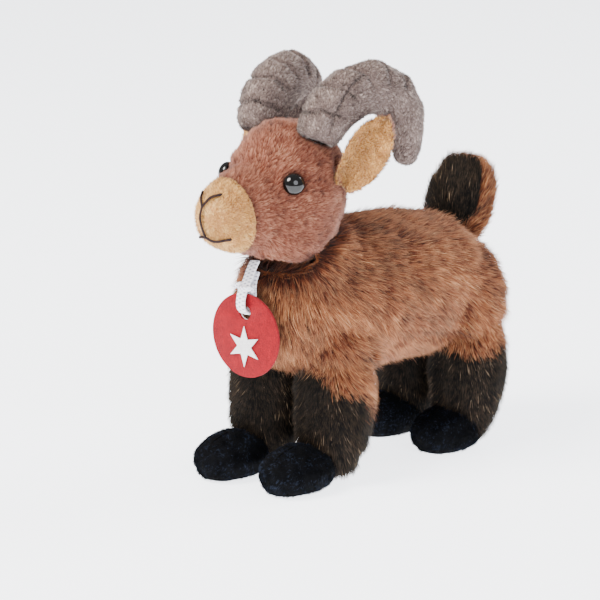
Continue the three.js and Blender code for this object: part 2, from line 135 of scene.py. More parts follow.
def grainedMaterial(name, grain, detail, shades, places, relief, finish):  # one grain, in mm, sets colour and relief
    made, tree = newMaterial(name)
    place = addNode(tree, "ShaderNodeTexCoord")
    noise = addNode(tree, "ShaderNodeTexNoise", {"Scale": 1 / (grain * mm), "Detail": detail},
                    {0: place.outputs["Object"]})
    tone = addNode(tree, "ShaderNodeValToRGB", {}, {0: noise.outputs[0]})
    setStops(tone, list(zip(places, shades)))
    links = {"Base Color": tone.outputs[0]}
    if relief:  # its strength, and its depth in mm
        bump = addNode(tree, "ShaderNodeBump", {"Strength": relief[0], "Distance": relief[1] * mm},
                       {"Height": noise.outputs[0]})
        links["Normal"] = bump.outputs[0]
    finishMaterial(tree, addNode(tree, "ShaderNodeBsdfPrincipled", finish, links))
    return made


def link(obj):
    bpy.context.scene.collection.objects.link(obj)
    return obj


def dress(piece, material, body):  # gives a piece its one material and its body
    piece.data.materials.clear()
    piece.data.materials.append(material)
    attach(piece, body)
    return piece


def meshOf(form, name):
    mesh = bpy.data.meshes.new(name)
    form.to_mesh(mesh)
    form.free()
    return mesh


def meshPiece(form, name, material, body):
    bmesh.ops.recalc_face_normals(form, faces=form.faces[:])
    mesh = meshOf(form, name)
    mesh.shade_smooth()
    return dress(link(bpy.data.objects.new(name, mesh)), material, body)


def jointNamed(name):
    return next(j for j in frame["joints"] if j["name"] == name)


def freeze(obj):  # applies what the modifiers make
    made = bpy.data.meshes.new_from_object(obj.evaluated_get(bpy.context.evaluated_depsgraph_get()))
    obj.modifiers.clear()
    obj.data = made
    return obj


def vectorsOf(mesh, field):
    flat = np.empty(len(mesh.vertices) * 3)
    mesh.vertices.foreach_get(field, flat)
    return flat.reshape(-1, 3)


def pointsOf(mesh):
    return vectorsOf(mesh, "co")


def normalsOf(mesh):
    return vectorsOf(mesh, "normal")


def nearestOf(points, places):  # which place lies nearest to each point
    tree = KDTree(len(places))
    for i, place in enumerate(places):
        tree.insert(Vector(place), i)
    tree.balance()
    return [tree.find(Vector(p))[1] for p in points]


def unit(vectors):
    size = np.linalg.norm(vectors, axis=-1, keepdims=True)
    return vectors / np.maximum(size, 1e-9)


def smoothStep(values, low, high):
    share = np.clip((values - low) / (high - low), 0, 1)
    return share * share * (3 - 2 * share)


def ripple(points, size, seed):  # soft random patches of about that size, mostly from -1 to 1
    draw = np.random.default_rng(seed)
    total = np.zeros(len(points))
    for _ in range(7):
        wave = unit(draw.normal(size=3)) * draw.uniform(0.6, 1.5) * 2 * math.pi / size
        total += np.sin(points @ wave + draw.uniform(0, 2 * math.pi))
    return total / 2.6


# Cloth skins are worked up from the covers and the filling.
def addPlug(form, plug):  # a shrunken stub of a neighbour, so that no gap opens between two sewn pieces
    first = len(form.verts)
    for part in plug["parts"]:
        form.from_mesh(nodes[part].data)
    form.verts.ensure_lookup_table()
    stub = form.verts[first:]
    middle = sum((v.co for v in stub), Vector()) / len(stub)
    for vert in stub:
        vert.co = middle + (vert.co - middle) * plug["shrink"]
        vert.co.y = max(vert.co.y, plug.get("foremost", -1))
        vert.co.z = min(max(vert.co.z, plug.get("lowest", -1)), plug.get("highest", 1))


def skinOf(name, parts, cloth, body, material, plugs=()):  # cloth says how the skin is worked up
    form = bmesh.new()
    for part in parts:
        form.from_mesh(nodes[part].data)
    for plug in plugs:
        addPlug(form, plug)
    skin = link(bpy.data.objects.new(name, meshOf(form, name)))
    remesh = skin.modifiers.new("even", "REMESH")
    remesh.mode = "VOXEL"
    remesh.voxel_size = cloth["voxel"] * mm
    remesh.use_smooth_shade = True
    smooth = skin.modifiers.new("round", "SMOOTH")
    smooth.factor = 0.5
    smooth.iterations = cloth["smoothing"]
    sink = skin.modifiers.new("sink", "DISPLACE")
    sink.mid_level = 0
    sink.strength = -cloth["inset"] * mm
    freeze(skin)
    flat = pointsOf(skin.data)
    flat[:, 2] = np.maximum(flat[:, 2], ground["cloth"] * mm)
    skin.data.vertices.foreach_set("co", flat.reshape(-1))
    return dress(skin, material, body)


def cutSkin(skin, name, point, normal, lift, material):  # the part of a skin beyond a plane
    form = bmesh.new()
    form.from_mesh(skin.data)
    cut = bmesh.ops.bisect_plane(
        form, geom=form.verts[:] + form.edges[:] + form.faces[:], plane_co=point, plane_no=normal,
        clear_inner=True)
    rim = [e for e in cut["geom_cut"] if isinstance(e, bmesh.types.BMEdge)]
    bmesh.ops.holes_fill(form, edges=rim)
    form.normal_update()
    for vert in form.verts:
        vert.co += vert.normal * lift
    return dress(link(bpy.data.objects.new(name, meshOf(form, name))), material, body_of(skin)[0])


def solidTree(skin):  # what tells inside from outside, and the form's middle
    mesh = skin.data
    tree = BVHTree.FromPolygons(
        [tuple(v) for v in pointsOf(mesh)], [tuple(p.vertices) for p in mesh.polygons])
    return tree, Vector(pointsOf(mesh).mean(axis=0))


def isOutside(point, tree, centre):  # a ray away from the form's middle then meets its skin an even number of times
    if tree.find_nearest(point, 0.05)[0] is None:
        return True
    away = (point - centre).normalized()
    start, crossings = point.copy(), 0
    for _ in range(8):
        hit, _, _, reach = tree.ray_cast(start, away)
        if hit is None:
            break
        crossings += 1
        start = hit + away * 1e-5
    return crossings % 2 == 0


# The pile is real fibres, each a thin three-sided taper that grows out of a skin. A plush fibre is about 0.04 mm
# thick, which is too fine to show, so it is drawn several times as thick and there are fewer of them.
def rootsOn(skin, perSquareMm, seed):
    mesh = skin.data
    mesh.calc_loop_triangles()
    corners = np.empty(len(mesh.loop_triangles) * 3, dtype=np.int32)
    mesh.loop_triangles.foreach_get("vertices", corners)
    corners = corners.reshape(-1, 3)
    place, facing = pointsOf(mesh), normalsOf(mesh)
    a, b, c = (place[corners[:, k]] for k in range(3))
    area = np.linalg.norm(np.cross(b - a, c - a), axis=1) / 2
    draw = np.random.default_rng(seed)
    count = int(area.sum() / mm / mm * perSquareMm)
    chosen = draw.choice(len(area), size=count, p=area / area.sum())
    s, t = draw.random(count), draw.random(count)
    over = s + t > 1
    s[over], t[over] = 1 - s[over], 1 - t[over]
    share = np.stack([1 - s - t, s, t], axis=1)[:, :, None]
    roots = (place[corners[chosen]] * share).sum(axis=1)
    normals = unit((facing[corners[chosen]] * share).sum(axis=1))
    return roots, normals


def growPile(name, roots, normals, comb, pile, shade, body, material):
    draw = np.random.default_rng(pile["seed"])
    count = len(roots)
    along = comb - (comb * normals).sum(axis=1, keepdims=True) * normals
    along = unit(along + 1e-6)
    turn = np.radians(pile["swirl"]) * ripple(roots, pile["patch"] * mm, pile["seed"] + 1)
    turn += np.radians(pile["stray"]) * draw.normal(size=count)
    across = np.cross(normals, along)
    along = np.cos(turn)[:, None] * along + np.sin(turn)[:, None] * across
    lean = pile["lean"] + pile["leanVary"] * draw.normal(size=count)
    lean += pile["leanPatch"] * ripple(roots, pile["patch"] * 0.7 * mm, pile["seed"] + 2)
    lean = np.radians(np.clip(lean, 4, 86))[:, None]
    length = pile["length"] * mm * draw.uniform(1 - pile["uneven"], 1, size=count)
    length = (length * pile.get("lengthAt", lambda p: 1.0)(roots))[:, None]
    first = np.cos(lean) * normals + np.sin(lean) * along
    bend = np.clip(lean + math.radians(pile["bend"]), 0.05, 1.6)
    second = unit(np.cos(bend) * normals + np.sin(bend) * along + np.array([0, 0, -pile["droop"]]))
    start = roots - normals * 0.3 * mm
    middle = start + first * length * 0.5
    tip = middle + second * length * 0.5
    clumps = max(1, int(count / pile["perTuft"]))
    centres = draw.choice(count, size=clumps, replace=False)
    owner = centres[nearestOf(roots, roots[centres])]
    pull = (pile["tuft"] * draw.uniform(0.4, 1, size=count))[:, None]
    tip = tip + (tip[owner] - tip) * pull
    middle = middle + (middle[owner] - middle) * pull * 0.4
    tuftShade = draw.normal(size=count)[owner] * pile["tuftSpread"]
    value = np.clip(shade + tuftShade + draw.normal(size=count) * pile["speckle"], 0.02, 0.98)
    rings = [start, middle, tip] if pile["segments"] == 2 else [start, tip]
    radius = pile["radius"] * mm * draw.uniform(0.75, 1.15, size=count)[:, None]
    writeFibres(name, rings, normals, radius, value, body, material)


mostTriangles = 195000  # a coat with more is written as several pieces


def writeFibres(name, rings, normals, radius, value, body, material):
    levels = len(rings) - 1
    perFibre = 3 * levels + 1
    faces = []
    for level in range(levels - 1):
        for k in range(3):
            low, high = 3 * level, 3 * level + 3
            after = (k + 1) % 3
            faces += [[low + k, low + after, high + k], [low + after, high + after, high + k]]
    last = 3 * (levels - 1)
    faces += [[last + k, last + (k + 1) % 3, perFibre - 1] for k in range(3)]
    faces = np.array(faces)
    direction = unit(rings[-1] - rings[0])
    sideways = unit(np.cross(direction, normals) + 1e-7)
    upward = np.cross(direction, sideways)
    order = np.argsort(rings[0][:, 1])
    most = mostTriangles // len(faces)
    groups = np.array_split(order, math.ceil(len(order) / most))
    for number, group in enumerate(groups):
        count = len(group)
        place = np.empty((count, perFibre, 3))
        facing = np.empty((count, perFibre, 3))
        uv = np.empty((count, perFibre, 2))
        for level in range(levels):
            width = radius[group] * (1 - 0.25 * level)
            for k in range(3):
                angle = 2 * math.pi * k / 3
                out = math.cos(angle) * sideways[group] + math.sin(angle) * upward[group]
                place[:, 3 * level + k] = rings[level][group] + out * width
                facing[:, 3 * level + k] = unit(normals[group] * 0.8 + out * 0.5)
                uv[:, 3 * level + k, 0] = value[group] + 0.006 * (k - 1)
                uv[:, 3 * level + k, 1] = level / levels
        place[:, -1] = rings[-1][group]
        facing[:, -1] = unit(normals[group] * 0.7 + direction[group] * 0.3)
        uv[:, -1, 0] = value[group]
        uv[:, -1, 1] = 1
        place[:, :, 2] = np.maximum(place[:, :, 2], ground["fibre"] * mm)
        index = (faces[None] + np.arange(count)[:, None, None] * perFibre).reshape(-1)
        mesh = bpy.data.meshes.new(name)
        mesh.vertices.add(count * perFibre)
        mesh.vertices.foreach_set("co", place.reshape(-1))
        mesh.loops.add(len(index))
        mesh.loops.foreach_set("vertex_index", index.astype(np.int32))
        mesh.polygons.add(len(index) // 3)
        mesh.polygons.foreach_set("loop_start", np.arange(0, len(index), 3, dtype=np.int32))
        layer = mesh.uv_layers.new(name="OFBake")
        layer.data.foreach_set("uv", uv.reshape(-1, 2)[index].reshape(-1))
        mesh.update()
        mesh.shade_smooth()
        mesh.normals_split_custom_set_from_vertices(facing.reshape(-1, 3))
        label = name if len(groups) == 1 else f"{name}_{number + 1}"
        dress(link(bpy.data.objects.new(label, mesh)), material, body)
    print(f"{name}: {len(value)} fibres in {len(groups)} piece(s)")


# Polyester plush fibre: matt, soft edged. Shade runs across the coat, and root to tip along each fibre, where painted
# shade darkens it towards the root, deep in the pile.
def plushFibre(name, look):
    made, tree = newMaterial(name)
    place = addNode(tree, "ShaderNodeUVMap", {"uv_map": "OFBake"})
    split = addNode(tree, "ShaderNodeSeparateXYZ", {}, {0: place.outputs[0]})
    coat = addNode(tree, "ShaderNodeValToRGB", {}, {0: split.outputs["X"]})
    setStops(coat, look["coat"])
    # Painted shade: each fibre is darkened towards its root, deep in the pile.
    rise = addNode(tree, "ShaderNodeValToRGB", {}, {0: split.outputs["Y"]})
    setStops(rise, look["rise"])
    shaded = addNode(tree, "ShaderNodeMix", {"data_type": "RGBA", "blend_type": "MULTIPLY", 0: 1.0},
                     {6: coat.outputs[0], 7: rise.outputs[0]})
    tipped = addNode(tree, "ShaderNodeMapRange", {1: look["tipFrom"], 2: 1.0, 3: 0.0, 4: look["tipShare"]},
                     {0: split.outputs["Y"]})
    lit = addNode(tree, "ShaderNodeMix", {"data_type": "RGBA", 7: hexColour(look["tip"])},
                  {0: tipped.outputs[0], 6: shaded.outputs[2]})
    shader = addNode(tree, "ShaderNodeBsdfPrincipled",
                     {"Roughness": look["roughness"], "Sheen Weight": look["sheen"], "Sheen Roughness": 0.5,
                      "Specular IOR Level": look["specular"]}, {"Base Color": lit.outputs[2]})
    finishMaterial(tree, shader)
    return made


# Warp-knit polyester backing that the pile is tied into: dull, seen only where the pile parts.
def knitBacking(name, colour, stitch=0.7):
    made, tree = newMaterial(name)
    place = addNode(tree, "ShaderNodeTexCoord")
    loops = addNode(tree, "ShaderNodeTexVoronoi", {"Scale": 1 / (stitch * mm)}, {0: place.outputs["Object"]})
    tone = addNode(tree, "ShaderNodeValToRGB", {}, {0: loops.outputs["Distance"]})
    setStops(tone, [(0.1, colour[0]), (0.8, colour[1])])
    bump = addNode(tree, "ShaderNodeBump", {"Strength": 0.4, "Distance": 0.2 * mm},
                   {"Height": loops.outputs["Distance"]})
    shader = addNode(tree, "ShaderNodeBsdfPrincipled", {"Roughness": 0.9, "Specular IOR Level": 0.1},
                     {"Base Color": tone.outputs[0], "Normal": bump.outputs[0]})
    finishMaterial(tree, shader)
    return made


# What each cover's plush is, with its shades from the darkest to the lightest, and from root to tip, where the dark
# root end is painted shade.
coats = {
    "rust": {"coat": [(0.0, "#220d05"), (0.3, "#61301a"), (0.55, "#8c4a29"), (0.8, "#b47144"), (1.0, "#eab583")],
             "rise": [(0.0, "#362a26"), (0.45, "#a8988e"), (0.85, "#ffffff")],
             "tip": "#e8b282", "tipFrom": 0.6, "tipShare": 0.3, "roughness": 0.7, "sheen": 0.05, "specular": 0.2},
    "dark": {"coat": [(0.0, "#020101"), (0.35, "#070504"), (0.65, "#120d0a"), (0.85, "#473729"), (1.0, "#b39b7e")],
             "rise": [(0.0, "#2e2a28"), (0.5, "#a8a09c"), (0.85, "#ffffff")],
             "tip": "#6f5a42", "tipFrom": 0.7, "tipShare": 0.3, "roughness": 0.65, "sheen": 0.02, "specular": 0.12},
    "rose": {"coat": [(0.0, "#4a2118"), (0.3, "#8b4f3c"), (0.55, "#aa6850"), (0.8, "#c5866a"), (1.0, "#e2ab8b")],
             "rise": [(0.0, "#4e3c36"), (0.6, "#d4cac4"), (1.0, "#ffffff")],
             "tip": "#d8a284", "tipFrom": 0.6, "tipShare": 0.3, "roughness": 0.75, "sheen": 0.12, "specular": 0.2},
    "sand": {"coat": [(0.0, "#7d4716"), (0.3, "#c5873c"), (0.6, "#f2ba66"), (1.0, "#ffdc96")],
             "rise": [(0.0, "#84705f"), (0.6, "#eee6dc"), (1.0, "#ffffff")],
             "tip": "#ffe0a8", "tipFrom": 0.5, "tipShare": 0.4, "roughness": 0.75, "sheen": 0.12, "specular": 0.2},
    "taupe": {"coat": [(0.0, "#2e2321"), (0.3, "#64534e"), (0.6, "#928079"), (1.0, "#d2c1b6")],
              "rise": [(0.0, "#463d3b"), (0.6, "#d6d0ce"), (1.0, "#ffffff")],
              "tip": "#cbbcb2", "tipFrom": 0.6, "tipShare": 0.3, "roughness": 0.75, "sheen": 0.12, "specular": 0.2},
    "velour": {"coat": [(0.0, "#010102"), (0.5, "#05060a"), (0.8, "#0f131d"), (1.0, "#2b3344")],
               "rise": [(0.0, "#606060"), (1.0, "#ffffff")],
               "tip": "#1c2230", "tipFrom": 0.6, "tipShare": 0.2, "roughness": 0.7, "sheen": 0.0, "specular": 0.08},
}
fibre = {name: plushFibre(f"{name}_polyester_plush_fibre", look) for name, look in coats.items()}
backing = {
    "rust": knitBacking("rust_knit_backing", ("#6d3d24", "#4b2816")),
    "dark": knitBacking("dark_knit_backing", ("#0a0706", "#050403")),
    "rose": knitBacking("rose_knit_backing", ("#6d3b2b", "#552c20")),
    "sand": knitBacking("sand_knit_backing", ("#c08d5c", "#a27246")),
    "taupe": knitBacking("taupe_knit_backing", ("#76655f", "#5d4f4a")),
    "velour": knitBacking("black_velour_backing", ("#06070a", "#030406"), 0.4),
}
print("plush materials made")

longPile = {"length": 10, "uneven": 0.4, "lean": 60, "leanVary": 8, "leanPatch": 7, "bend": 12, "droop": 0.1,
            "swirl": 12, "stray": 9, "patch": 15, "perTuft": 6, "tuft": 0.5, "tuftSpread": 0.11, "speckle": 0.16,
            "radius": 0.14, "segments": 2}
shortPile = {"length": 2.8, "uneven": 0.35, "lean": 48, "leanVary": 10, "leanPatch": 10, "bend": 10, "droop": 0.0,
             "swirl": 16, "stray": 10, "patch": 7, "perTuft": 9, "tuft": 0.55, "tuftSpread": 0.13, "speckle": 0.14,
             "radius": 0.15, "segments": 1}
velourPile = {"length": 1.5, "uneven": 0.3, "lean": 46, "leanVary": 10, "leanPatch": 14, "bend": 0, "droop": 0.0,
              "swirl": 30, "stray": 18, "patch": 7, "perTuft": 9, "tuft": 0.6, "tuftSpread": 0.2, "speckle": 0.18,
              "radius": 0.16, "segments": 1}


def paintedCreaseShade(skin, roots, reach, strength):  # painted shade: the pile is coloured darker in creases and seams, where the pile closes
    mesh = skin.data
    place = pointsOf(mesh)
    edges = np.empty(len(mesh.edges) * 2, dtype=np.int32)
    mesh.edges.foreach_get("vertices", edges)
    edges = edges.reshape(-1, 2)
    soft = place.copy()
    degree = np.bincount(edges.reshape(-1), minlength=len(place))[:, None]
    for _ in range(reach):
        total = np.zeros_like(soft)
        np.add.at(total, edges[:, 0], soft[edges[:, 1]])
        np.add.at(total, edges[:, 1], soft[edges[:, 0]])
        soft = total / np.maximum(degree, 1)
    hollow = ((soft - place) * normalsOf(mesh)).sum(axis=1) / mm
    return -np.clip(hollow[nearestOf(roots, place)], -0.15, 0.8) * strength


legNames = ("front_left", "front_right", "rear_left", "rear_right")
body = {"voxel": 1.7, "inset": 1.3, "smoothing": 10, "perSquareMm": 7.5, "hipFloor": 38 * mm, "tailCeiling": 88 * mm,
        "collar": {"highest": 100 * mm, "foremost": -45 * mm}}
bodyPlugs = [{"parts": [f"{name}_leg_cover", f"{name}_leg_stuffing"], "shrink": 0.92, "lowest": body["hipFloor"]}
             for name in legNames]
bodyPlugs.append({"parts": ["tail_front_cover", "tail_back_cover", "tail_stuffing"], "shrink": 0.9,
                  "highest": body["tailCeiling"]})
bodyPlugs.append({"parts": ["head_cover", "head_stuffing"], "shrink": 0.92, **body["collar"]})
bodySkin = skinOf("body_skin", ["body_cover", "body_stuffing"], body, "torso", backing["rust"], bodyPlugs)
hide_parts("body_cover")

head = {"voxel": 1.1, "inset": 0.8, "smoothing": 8, "perSquareMm": 11}
headSkin = skinOf("head_skin", ["head_cover", "head_stuffing", "muzzle_cover"], head, "head",
                  backing["rose"])
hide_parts("head_cover")

leg = {"voxel": 1.4, "inset": 0.2, "smoothing": 14, "perSquareMm": 7, "lowestRoot": 4.5}
hoof = {"voxel": 0.7, "inset": -0.5, "smoothing": 30, "perSquareMm": 12, "lowestRoot": 0.8}
legSkins, hoofSkins = {}, {}
for name in legNames:
    legSkins[name] = skinOf(f"{name}_leg_skin", [f"{name}_leg_cover", f"{name}_leg_stuffing"], leg,
                            f"{name}_leg", backing["dark"])
    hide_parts(f"{name}_leg_cover")
    hoofSkins[name] = skinOf(f"{name}_hoof_skin", [f"{name}_hoof_cover", f"{name}_hoof_stuffing"], hoof,
                             f"{name}_leg", backing["velour"])
    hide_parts(f"{name}_hoof_cover")
# Stitched creases run across the outer curve of each horn, which bends about one line, and a seam runs
# along its outer side.
horn = {"creases": (160, 134, 108, 84, 60), "crease": 1.2, "creaseWidth": 0.8, "bend": (26, 13), "midRadius": 16,
        "seamRadius": 21, "seamEnd": 95, "seam": 0.9, "seamWidth": 0.6,
        "voxel": 0.7, "inset": -0.3, "smoothing": 22, "perSquareMm": 12}


def hornFolds(points, side):  # how deep each point lies in a crease or in the seam, from 0 to 1
    lowest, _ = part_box(f"{side}_horn_cover")
    reach = points[:, 1:] - (np.array(lowest)[1:] + np.array(horn["bend"]) * mm)
    radius = np.hypot(reach[:, 0], reach[:, 1]) / mm
    angle = np.degrees(np.arctan2(reach[:, 1], reach[:, 0]))
    outer = smoothStep(radius, horn["midRadius"] - 2, horn["midRadius"] + 4)
    fold = np.zeros(len(points))
    for place in horn["creases"]:
        wander = 2.5 * np.sin(points[:, 0] / mm * 0.35 + place)
        gap = np.radians(angle - place - wander) * radius
        fold = np.maximum(fold, outer * horn["crease"] * np.exp(-(gap / horn["creaseWidth"]) ** 2))
    middle = np.median(points[:, 0])
    outside = smoothStep((points[:, 0] - middle) * (1 if side == "left" else -1) / mm, 0, 2)
    gap = radius - horn["seamRadius"] - 0.7 * np.sin(np.radians(angle) * 4)
    along = smoothStep(angle, horn["seamEnd"], horn["seamEnd"] + 25)
    return np.maximum(fold, outside * along * horn["seam"] * np.exp(-(gap / horn["seamWidth"]) ** 2))


def creaseHorn(skin, side):
    points, out = pointsOf(skin.data), normalsOf(skin.data)
    points -= out * hornFolds(points, side)[:, None] * mm
    skin.data.vertices.foreach_set("co", points.reshape(-1))
    skin.data.update()


hornSkins = {}
for side in ("left", "right"):
    hornSkins[side] = skinOf(f"{side}_horn_skin", [f"{side}_horn_cover", f"{side}_horn_stuffing"], horn,
                             "head", backing["taupe"])
    creaseHorn(hornSkins[side], side)
    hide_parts(f"{side}_horn_cover")
tail = {"voxel": 1.4, "inset": 0.3, "smoothing": 10, "perSquareMm": 6.0, "axis": (0, 11.3, 30.0), "split": 3.2}
tailSkin = skinOf("tail_back_skin", ["tail_front_cover", "tail_back_cover", "tail_stuffing"], tail,
                  "tail", backing["rust"])
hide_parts("tail_back_cover")
print("skins made")

trees = {"torso": solidTree(bodySkin), "head": solidTree(headSkin), "tail": solidTree(tailSkin)}
for name in legNames:
    trees[name] = solidTree(legSkins[name])
for side in ("left", "right"):
    trees[side + "_horn"] = solidTree(hornSkins[side])


def clearOf(roots, normals, names):  # keeps the roots that lie outside other pieces
    kept = np.ones(len(roots), dtype=bool)
    for name in names:
        tree, centre = trees[name]
        kept[kept] = [isOutside(Vector(point), tree, centre) for point in roots[kept]]
    return roots[kept], normals[kept]


bodyLow, bodyHigh = (np.array(corner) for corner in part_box("body_cover"))


def bodyComb(roots, normals):  # down the sides, and back along the chest and the spine
    forward = smoothStep(roots[:, 1], bodyLow[1], bodyLow[1] + 0.35 * (bodyHigh[1] - bodyLow[1]))
    top = np.clip(normals[:, 2], 0, 1)
    comb = np.zeros_like(roots)
    comb[:, 1] = 0.12 + 0.75 * forward + 0.3 * top
    comb[:, 2] = -(1 - 0.75 * top) * (0.95 - 0.2 * forward)
    comb[:, 0] = normals[:, 0] * 0.1
    return comb


bodyCoat = {**longPile, "seed": 11}
roots, normals = rootsOn(bodySkin, body["perSquareMm"], 10)
roots, normals = clearOf(roots, normals, legNames + ("head", "tail"))
shade = 0.45 + 0.09 * ripple(roots, 26 * mm, 12) + 0.08 * ripple(roots, 7 * mm, 13)
growPile("body_pile", roots, normals, bodyComb(roots, normals), bodyCoat, shade, "torso",
         fibre["rust"])

# The rust coat hangs over the tops of the legs down to a slanted seam, lower on the outside and behind.
sleeve = {"front": (30, -0.417, -0.722), "rear": (42, 0, 0), "fuzz": 1.6}


def growLeg(number, name):
    roots, normals = rootsOn(legSkins[name], leg["perSquareMm"], 29 + 5 * number)
    roots, normals = clearOf(roots, normals, ("torso",))
    keep = roots[:, 2] > leg["lowestRoot"] * mm
    roots, normals = roots[keep], normals[keep]
    level, outward, back = sleeve[name.split("_")[0]]
    edge = level * mm + outward * np.abs(roots[:, 0]) + back * roots[:, 1]
    edge += sleeve["fuzz"] * mm * np.random.default_rng(28 + number).normal(size=len(roots))
    edge += 1.5 * mm * ripple(roots, 12 * mm, 27 + number)
    rust = roots[:, 2] > edge
    comb = np.tile([0.0, 0.12, -1.0], (len(roots), 1))
    sleeveComb = np.tile([0.0, 0.3, -1.0], (len(roots), 1))
    coat = {**longPile, "seed": 30 + 5 * number, "length": 7.5, "lean": 52, "droop": 0.0}
    darkShade = 0.42 + 0.1 * ripple(roots, 14 * mm, 31 + number)
    rustShade = 0.45 + 0.08 * ripple(roots, 14 * mm, 32 + number)
    for label, part, lay, shade, colour, slot in (
            ("leg_pile", ~rust, comb, darkShade, "dark", "dark_fur"),
            ("leg_sleeve_pile", rust, sleeveComb, rustShade, "rust", "rust_fur")):
        growPile(f"{name}_{label}", roots[part], normals[part], lay[part], coat, shade[part], f"{name}_leg",
                 fibre[colour])


def growHoof(number, name):
    roots, normals = rootsOn(hoofSkins[name], hoof["perSquareMm"], 61 + 5 * number)
    roots, normals = clearOf(roots, normals, (name,))
    keep = roots[:, 2] > hoof["lowestRoot"] * mm
    roots, normals = roots[keep], normals[keep]
    comb = np.tile([0.0, -1.0, -0.4], (len(roots), 1))
    # Painted shade: the velour is coloured darker in the hoof's creases.
    shade = 0.45 + 0.2 * ripple(roots, 8 * mm, 62 + number) + paintedCreaseShade(hoofSkins[name], roots, 12, 0.5)
    growPile(f"{name}_hoof_pile", roots, normals, comb, {**velourPile, "seed": 60 + 5 * number}, shade,
             f"{name}_leg", fibre["velour"])


for number, name in enumerate(legNames):
    growLeg(number, name)
    growHoof(number, name)

muzzleLow, muzzleHigh = (np.array(corner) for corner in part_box("muzzle_cover"))
nose = np.array([0, muzzleLow[1], (muzzleLow[2] + muzzleHigh[2]) / 2])
seam = {"y": -59.389, "z": 100.8, "slant": 8}
seamPoint = np.array([0, seam["y"], seam["z"]]) * mm
seamNormal = np.array([0, -math.cos(math.radians(seam["slant"])), -math.sin(math.radians(seam["slant"]))])
eye = {"radius": 3.9, "dome": 3.0, "toward": (20, -14, 7.5)}
eyePlaces = {}
for side, sign in (("left", 1), ("right", -1)):
    toward = Vector(eye["toward"]).normalized()
    toward.x *= sign
    spots = np.unique(pointsOf(nodes[f"{side}_eye"].data).round(6), axis=0)
    axisPoint = Vector(spots.mean(axis=0))
    top = max((Vector(p) - axisPoint).dot(toward) for p in spots)
    eyePlaces[side] = (axisPoint + toward * (top - eye["dome"] * mm), toward)

muzzleSkin = cutSkin(headSkin, "muzzle_skin", seamPoint, seamNormal, 1.1 * mm, backing["sand"])
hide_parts("muzzle_cover")

trees["muzzle"] = solidTree(muzzleSkin)


def paintedEyeShade(spots):  # painted shade: the pile is coloured darker in a ring where it closes round the eyes
    away = [np.linalg.norm(spots - np.array(place), axis=1) for place, _ in eyePlaces.values()]
    near = np.min(away, axis=0) / mm
    return 0.34 * np.exp(-((near - eye["radius"]) / 1.5) ** 2)


for label, skin, sign, coat, colour, slotName in (
        ("head_pile", headSkin, -1, {**shortPile, "seed": 81, "lean": 57}, "rose", "rose_plush"),
        ("muzzle_pile", muzzleSkin, 1,
         {**shortPile, "seed": 85, "length": 1.9, "lean": 45, "tuft": 0.4, "radius": 0.13}, "sand", "sand_plush")):
    roots, normals = rootsOn(skin, head["perSquareMm"], coat["seed"] - 1)
    roots, normals = clearOf(roots, normals, ("torso", "left_horn", "right_horn"))
    ahead = (roots - seamPoint) @ seamNormal
    keep = ahead * sign > (0.4 * mm if sign > 0 else -0.3 * mm)
    for place, _ in eyePlaces.values():
        keep &= np.linalg.norm(roots - np.array(place), axis=1) > (eye["radius"] - 0.1) * mm
    spots, out, ahead = roots[keep], normals[keep], ahead[keep]
    comb = unit(spots - nose) + np.array([0, 0.2, 0.15])
    shade = 0.5 + 0.1 * ripple(spots, 15 * mm, 83) + 0.07 * ripple(spots, 5 * mm, 84)
    # Painted shade: the pile is darker in a line along the muzzle seam and in a ring round each eye.
    shade = shade - 0.3 * np.exp(-(ahead / (1.3 * mm)) ** 2) - paintedEyeShade(spots)
    growPile(label, spots, out, comb, coat, shade, "head", fibre[colour])

for number, side in enumerate(("left", "right")):
    roots, normals = rootsOn(hornSkins[side], horn["perSquareMm"], 90 + number)
    roots, normals = clearOf(roots, normals, ("head",))
    centre = np.array(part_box(f"{side}_horn_cover")).mean(axis=0)
    arm = roots - centre
    comb = np.stack([np.zeros(len(roots)), arm[:, 2], -arm[:, 1]], axis=1)
    coat = {**shortPile, "seed": 92 + 4 * number, "length": 1.6, "lean": 44, "tuftSpread": 0.15}
    # Painted shade: the pile is darker in the horn's creases and along its seam.
    shade = 0.52 + 0.08 * ripple(roots, 12 * mm, 93) - 0.8 * hornFolds(roots, side)
    growPile(f"{side}_horn_pile", roots, normals, comb, coat, shade, "head", fibre["taupe"])

# The tail is dark in front and rust behind, sewn round its edge.
tailRoot = np.array(jointNamed("tail_bend")["pos_m"])
tailAxis = unit(np.array(tail["axis"]))
tailNormal = np.array([0, -tailAxis[2], tailAxis[1]])
tailSplit = tailRoot + tailNormal * tail["split"] * mm
tailFront = cutSkin(tailSkin, "tail_front_skin", tailSplit, tailNormal, 0.1 * mm, backing["dark"])
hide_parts("tail_front_cover")
roots, normals = rootsOn(tailSkin, tail["perSquareMm"], 100)
roots, normals = clearOf(roots, normals, ("torso",))
onFront = (roots - tailSplit) @ tailNormal > 0
for label, part, colour, slotName, seed in (("tail_front_pile", onFront, "dark", "dark_fur", 101),
                                            ("tail_back_pile", ~onFront, "rust", "rust_fur", 105)):
    spots = roots[part]
    comb = np.tile(tailAxis, (len(spots), 1))
    shade = (0.4 if colour == "dark" else 0.5) + 0.12 * ripple(spots, 12 * mm, seed)
    growPile(label, spots, normals[part], comb, {**longPile, "seed": seed, "length": 8, "droop": 0.0}, shade,
             "tail", fibre[colour])

def lathe(name, profile, origin, axis, segments, material, body):  # profile holds (radius, height) in mm
    form = bmesh.new()
    spin = axis.to_track_quat("Z", "Y").to_matrix()
    rings = []
    for radius, height in profile:
        angles = [2 * math.pi * k / segments for k in range(segments)] if radius > 0 else [0]
        ring = [Vector((radius * math.cos(a), radius * math.sin(a), height)) for a in angles]
        rings.append([form.verts.new(origin + spin @ (point * mm)) for point in ring])
    for first, second in zip(rings, rings[1:]):
        for k in range(segments):
            corners = [first[k % len(first)], first[(k + 1) % len(first)],
                       second[(k + 1) % len(second)], second[k % len(second)]]
            form.faces.new(list(dict.fromkeys(corners)))
    return meshPiece(form, name, material, body)


